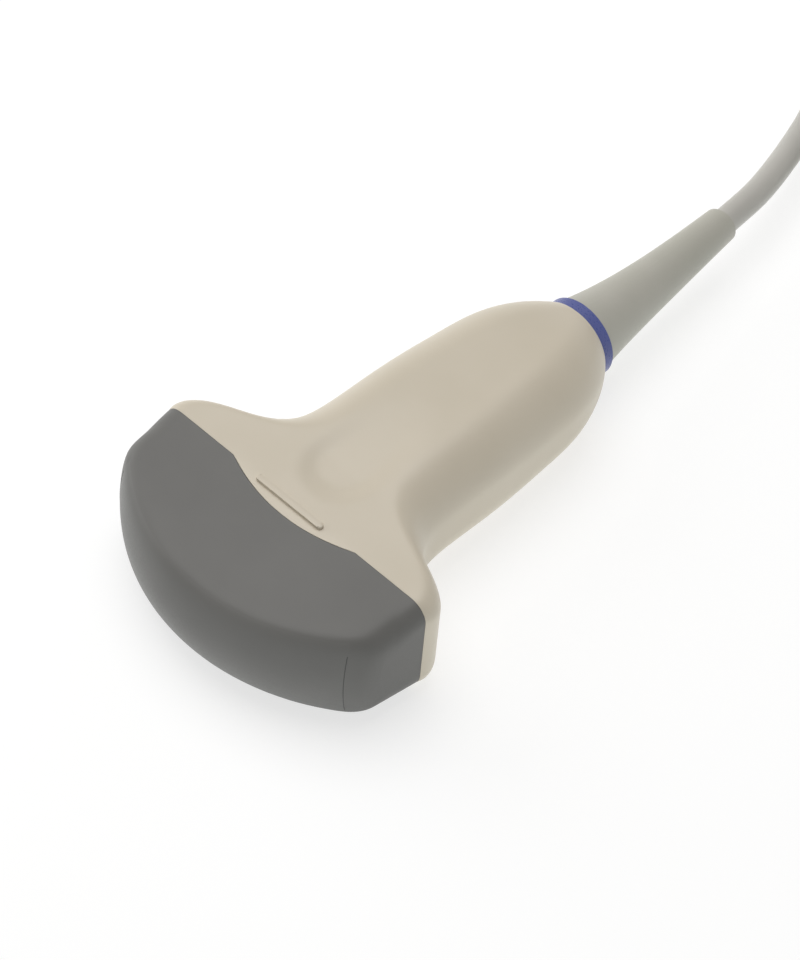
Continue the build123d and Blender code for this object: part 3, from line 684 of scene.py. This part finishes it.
# Spring contacts of the plug: gold blades standing in the block's slots
contactSizes = {"centre": (-4.0, 292.0, 9.0), "field": 18.5, "columns": 5, "rows": 6,
                "pitchAlong": 3.6, "pitchAside": 5.0,
                "bladeThick": 0.6, "bladeWide": 2.6, "bladeHigh": 1.6}


def bladeTree(name):
    group, given, size, finish = startTree(name, "Blade", "NodeSocketVector")
    blade = addNode(group, "GeometryNodeMeshCube", {"Size": given.outputs["Blade"], "Vertices Z": 3})
    spread = addNode(group, "GeometryNodeInstanceOnPoints", {
        "Points": given.outputs["Geometry"], "Instance": blade.outputs["Mesh"]})
    endTree(group, given, spread.outputs["Instances"])
    return group, size, finish


def springContacts(sizes):
    cx, cy, cz = sizes["centre"]
    places = []
    for field in (-1, 1):
        for i in range(sizes["columns"]):
            for j in range(sizes["rows"]):
                along = field * sizes["field"] + (i - (sizes["columns"] - 1) / 2) * sizes["pitchAlong"]
                aside = (j - (sizes["rows"] - 1) / 2) * sizes["pitchAside"]
                places.append(Vector((cx - aside, cy + along, cz - sizes["bladeHigh"] / 2)) * mm)
    mesh = bpy.data.meshes.new("springContacts")
    mesh.from_pydata(places, [], [])
    piece = newObject("springContacts", mesh)
    group, size, finish = bladeTree("bladesInSlots")
    blade = [sizes[k] * mm for k in ("bladeWide", "bladeThick", "bladeHigh")]
    return runTree(piece, group, {size: blade, finish: materials["contactGold"]})


contacts = springContacts(contactSizes)
print("contacts", len(contacts.data.polygons), "faces")

# Table, light and white surroundings
studio = {  # metres and watts
    "floorSize": 6.0, "floorColour": "#f9f9f8", "cameraShare": 0.60, "cameraWhite": 1.13, "fade": (0.4, 1.1),
    "glow": 0.72, "glowColour": "#f6fdff", "world": 0.27,
    "keyPower": 8.8, "keySize": 1.1, "keyPlace": (-0.30, 0.10, 1.17),
    "leftPower": 2.8, "leftSize": 0.8, "leftPlace": (-0.85, -0.15, 0.42),
}
pureWhite = (1, 1, 1, 1)


# 1 where the camera, a reflection or a clear piece looks at it, 0 where it lights the part
def seenShare(tree):
    path = addNode(tree, "ShaderNodeLightPath")
    share = path.outputs["Is Camera Ray"]
    for ray in ("Is Glossy Ray", "Is Transmission Ray"):
        most = addNode(tree, "ShaderNodeMath", {0: share, 1: path.outputs[ray]}, operation="MAXIMUM")
        share = most.outputs[0]
    return share


floorMesh = bpy.data.meshes.new("floor")
half = studio["floorSize"] / 2
floorCorners = [(-half, -half, 0), (half, -half, 0), (half, half, 0), (-half, half, 0)]
floorMesh.from_pydata(floorCorners, [], [(0, 1, 2, 3)])
floor = newObject("floor", floorMesh)
floorPaper = bpy.data.materials.new("floorPaper")
floorPaper.use_nodes = True
tree = floorPaper.node_tree
seen = seenShare(tree)
coords = addNode(tree, "ShaderNodeTexCoord")
far = addNode(tree, "ShaderNodeVectorMath", {0: coords.outputs["Object"]}, operation="LENGTH")
plain = addNode(tree, "ShaderNodeMapRange", {  # runs out to plain white away from the part
    "Value": far.outputs["Value"], "From Min": studio["fade"][0], "From Max": studio["fade"][1],
    "To Min": studio["cameraShare"], "To Max": 1.0}, interpolation_type="SMOOTHSTEP")
share = addNode(tree, "ShaderNodeMath", {0: seen, 1: plain.outputs["Result"]}, operation="MULTIPLY")
paper = addNode(tree, "ShaderNodeBsdfDiffuse", {"Color": hexLinear(studio["floorColour"])})
white = addNode(tree, "ShaderNodeEmission", {"Color": pureWhite, "Strength": studio["cameraWhite"]})
mix = addNode(tree, "ShaderNodeMixShader", {
    0: share.outputs[0], 1: paper.outputs["BSDF"], 2: white.outputs["Emission"]})
hidden = addNode(tree, "ShaderNodeMath", {0: 1.0, 1: seen}, operation="SUBTRACT")
glowLevel = addNode(tree, "ShaderNodeMath", {0: hidden.outputs[0], 1: studio["glow"]}, operation="MULTIPLY")
glow = addNode(tree, "ShaderNodeEmission", {  # the white table throws light back up
    "Color": hexLinear(studio["glowColour"]), "Strength": glowLevel.outputs[0]})
both = addNode(tree, "ShaderNodeAddShader", {0: mix.outputs["Shader"], 1: glow.outputs["Emission"]})
tree.links.new(both.outputs["Shader"], tree.nodes["Material Output"].inputs["Surface"])
floorMesh.materials.append(floorPaper)

world = bpy.data.worlds.new("studio")
scene.world = world
world.use_nodes = True
tree = world.node_tree
seen = seenShare(tree)
strength = addNode(tree, "ShaderNodeMapRange", {
    "Value": seen, "To Min": studio["world"], "To Max": 1.0})
tree.links.new(strength.outputs["Result"], tree.nodes["Background"].inputs["Strength"])
tree.nodes["Background"].inputs["Color"].default_value = pureWhite

for name in ("key", "left"):
    lampData = bpy.data.lights.new(name + "Lamp", "AREA")
    lampData.shape = "DISK"
    lampData.size = studio[name + "Size"]
    lampData.energy = studio[name + "Power"]
    lamp = bpy.data.objects.new(name + "Lamp", lampData)
    lamp.location = studio[name + "Place"]
    lamp.rotation_euler = (-lamp.location).to_track_quat("-Z", "Y").to_euler()
    scene.collection.objects.link(lamp)
print("studio ready")

# What moves with what
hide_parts("upper_shell")
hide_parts("lower_shell")
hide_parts("nosepiece")
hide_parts("acoustic_lens")
for piece, slot in ((upperHandle, "shell_plastic"), (lowerHandle, "shell_plastic"), (mark, "shell_plastic"),
                    (noseSkin, "nose_plastic"), (lensSkin, "lens_silicone"), (seam, "lens_silicone"),
                    (contacts, "plug_metal")):
    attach(piece, "root")
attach(cable, "root")
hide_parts("cable", "cable_coil", "cable_tail")
